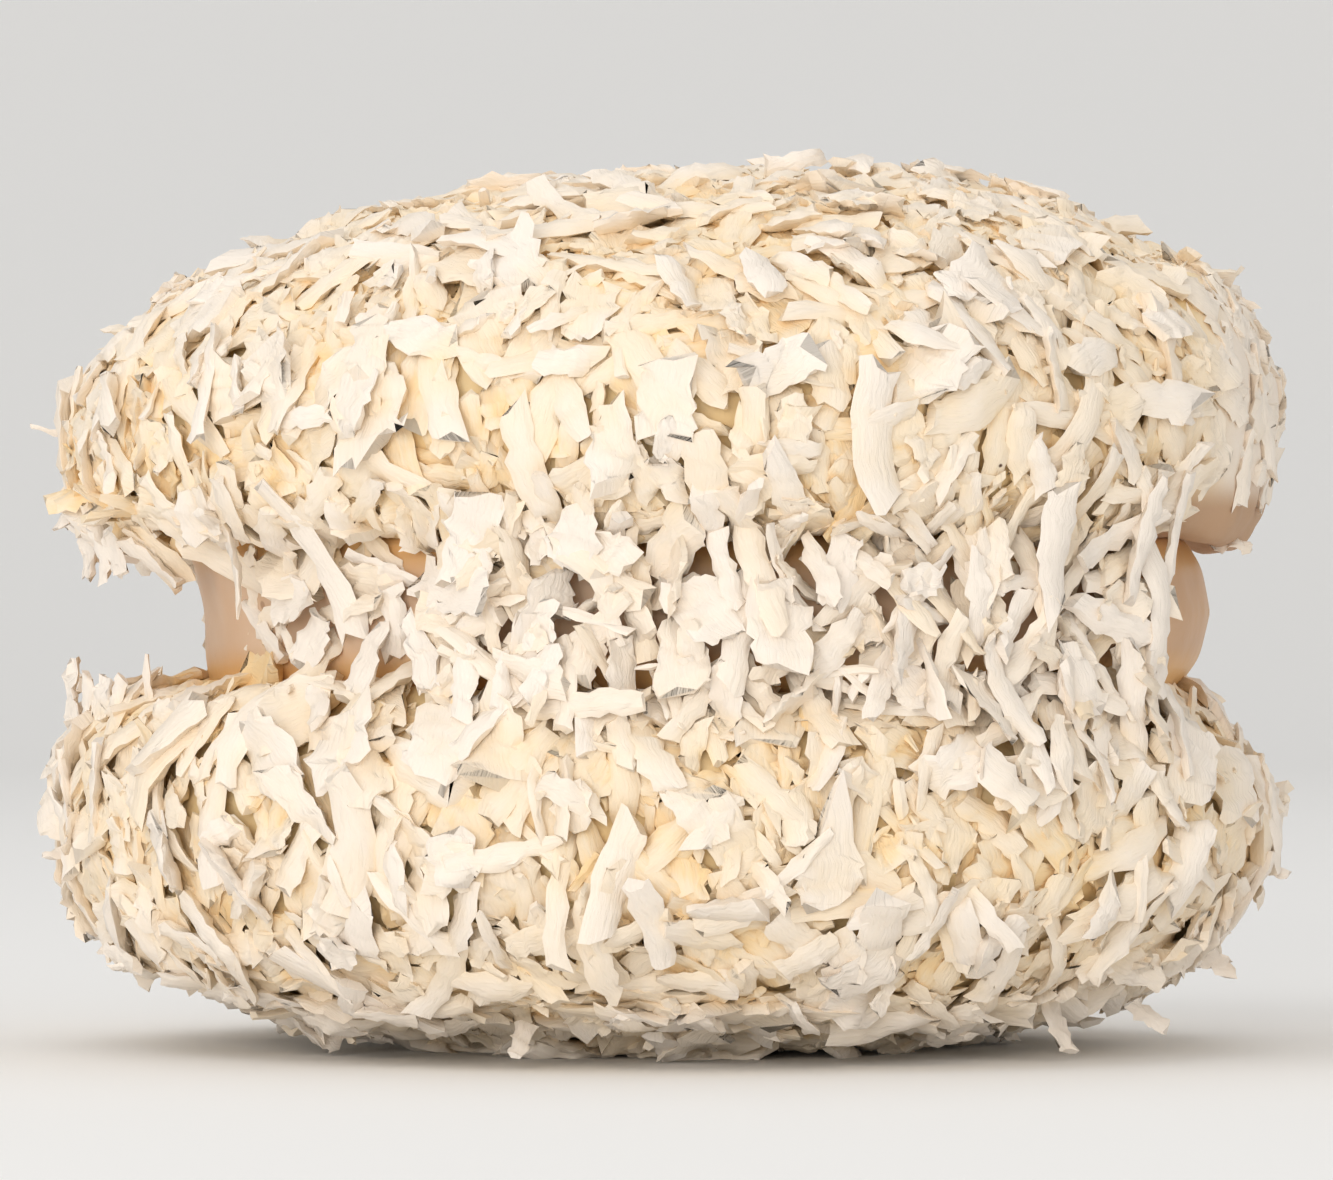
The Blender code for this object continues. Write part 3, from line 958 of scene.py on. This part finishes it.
def groove_bed():
    """The groove and both rims as seen from outside: how far everything stands out."""
    tree = tree_of([*shells.values(), filling, *coat_pieces])
    levels = np.arange(INNER_LOW - 0.0040, INNER_UP + 0.0045, GROOVE_STEP)
    turns = np.arange(0.0, 2 * math.pi, GROOVE_STEP / 0.0200)
    places, normals, heights = [], [], []
    for level in levels:
        for turn in turns:
            out = Vector((math.sin(turn), -math.cos(turn), 0.0))
            start = out * 0.03 + Vector((0.0, 0.0, level))
            hit = tree.ray_cast(start, -out)[0]
            radius = math.hypot(hit.x, hit.y) if hit else GROOVE_RADIUS
            places.append((out.x * GROOVE_RADIUS, out.y * GROOVE_RADIUS, level))
            normals.append(out)
            heights.append(max(0.0, radius - GROOVE_RADIUS))
    return Bed(np.array(places), np.array(normals), np.array(heights))


def fill_groove(pieces):
    bed = groove_bed()
    piles = {
        "shreds": Pile(0.46, 12, 6, 0.12, 0.00032, 0.7),
        "flakes": Pile(0.22, 10, 10, 0.24, 0.00046, 0.5),
        "slivers": Pile(0.60, 6, 5, 0.05, 0.00024, 0.7),
    }
    x, y, z = bed.places.T
    turned = np.degrees(np.arctan2(x, -y))
    inside = (z > INNER_LOW - 0.0010) & (z < INNER_UP + 0.0010)
    full = groove_fill(turned)
    chances = inside * np.minimum(1.0, full * 20)
    chances /= chances.sum()
    picks = chance.choice(len(x), size=(pieces, 6), p=chances)
    kinds = chance.random(pieces)
    for number in range(pieces):
        rule = IN_GROOVE if number > pieces * 0.6 else DEEP_IN_GROOVE
        choice = picks[number]
        at = int(choice[np.argmin(bed.height[choice] + chance.random(6) * 0.0004)])
        if bed.height[at] > rule.ceiling - 0.0007 or chance.random() > full[at]:
            continue
        normal = bed.normals[at]
        down = np.array([0.0, 0.0, -1.0])
        sideways = np.cross(normal, down)
        turn = chance.normal(0.0, 0.7) if chance.random() < 0.6 else chance.uniform(0.0, math.pi)
        heading = down * math.cos(turn) + sideways * math.sin(turn)
        lift = chance.normal(0.0, 0.25) if number > pieces * 0.6 else 0.0
        if kinds[number] < 0.48:
            length = chance.uniform(0.0016, 0.0043)
            width = chance.uniform(0.00040, 0.0011)
            lay(bed, piles["shreds"], at, heading, length, width, lift, rule)
        elif kinds[number] < 0.75:
            length = chance.uniform(0.0012, 0.0027)
            width = length * chance.uniform(0.45, 0.95)
            lay(bed, piles["flakes"], at, heading, length, width, lift, rule)
        else:
            length = chance.uniform(0.0008, 0.0026)
            width = chance.uniform(0.0002, 0.0005)
            lay(bed, piles["slivers"], at, heading, length, width, lift, rule)
    for kind, turn, height, lean, length, width in BRIDGES:
        way = math.radians(turn)
        spot = (GROOVE_RADIUS * math.sin(way), -GROOVE_RADIUS * math.cos(way), height)
        at = bed.tree.find(spot)[1]
        normal = bed.normals[at]
        down = np.array([0.0, 0.0, -1.0])
        lean = math.radians(lean)
        heading = down * math.cos(lean) + np.cross(down, normal) * math.sin(lean)
        before = len(piles[kind].tones_and_depth_shades)
        lay(bed, piles[kind], at, heading, length, width, 0.0, BRIDGING)
        piles[kind].tones_and_depth_shades[before:] = [0.95] * (len(piles[kind].tones_and_depth_shades) - before)
    return bed, piles


bed, piles = fill_groove(GROOVE_PIECES)
for kind, pile in piles.items():
    keep = seen_pieces(bed, pile)
    piece = swept(f"waist_{kind}", pile, keep)
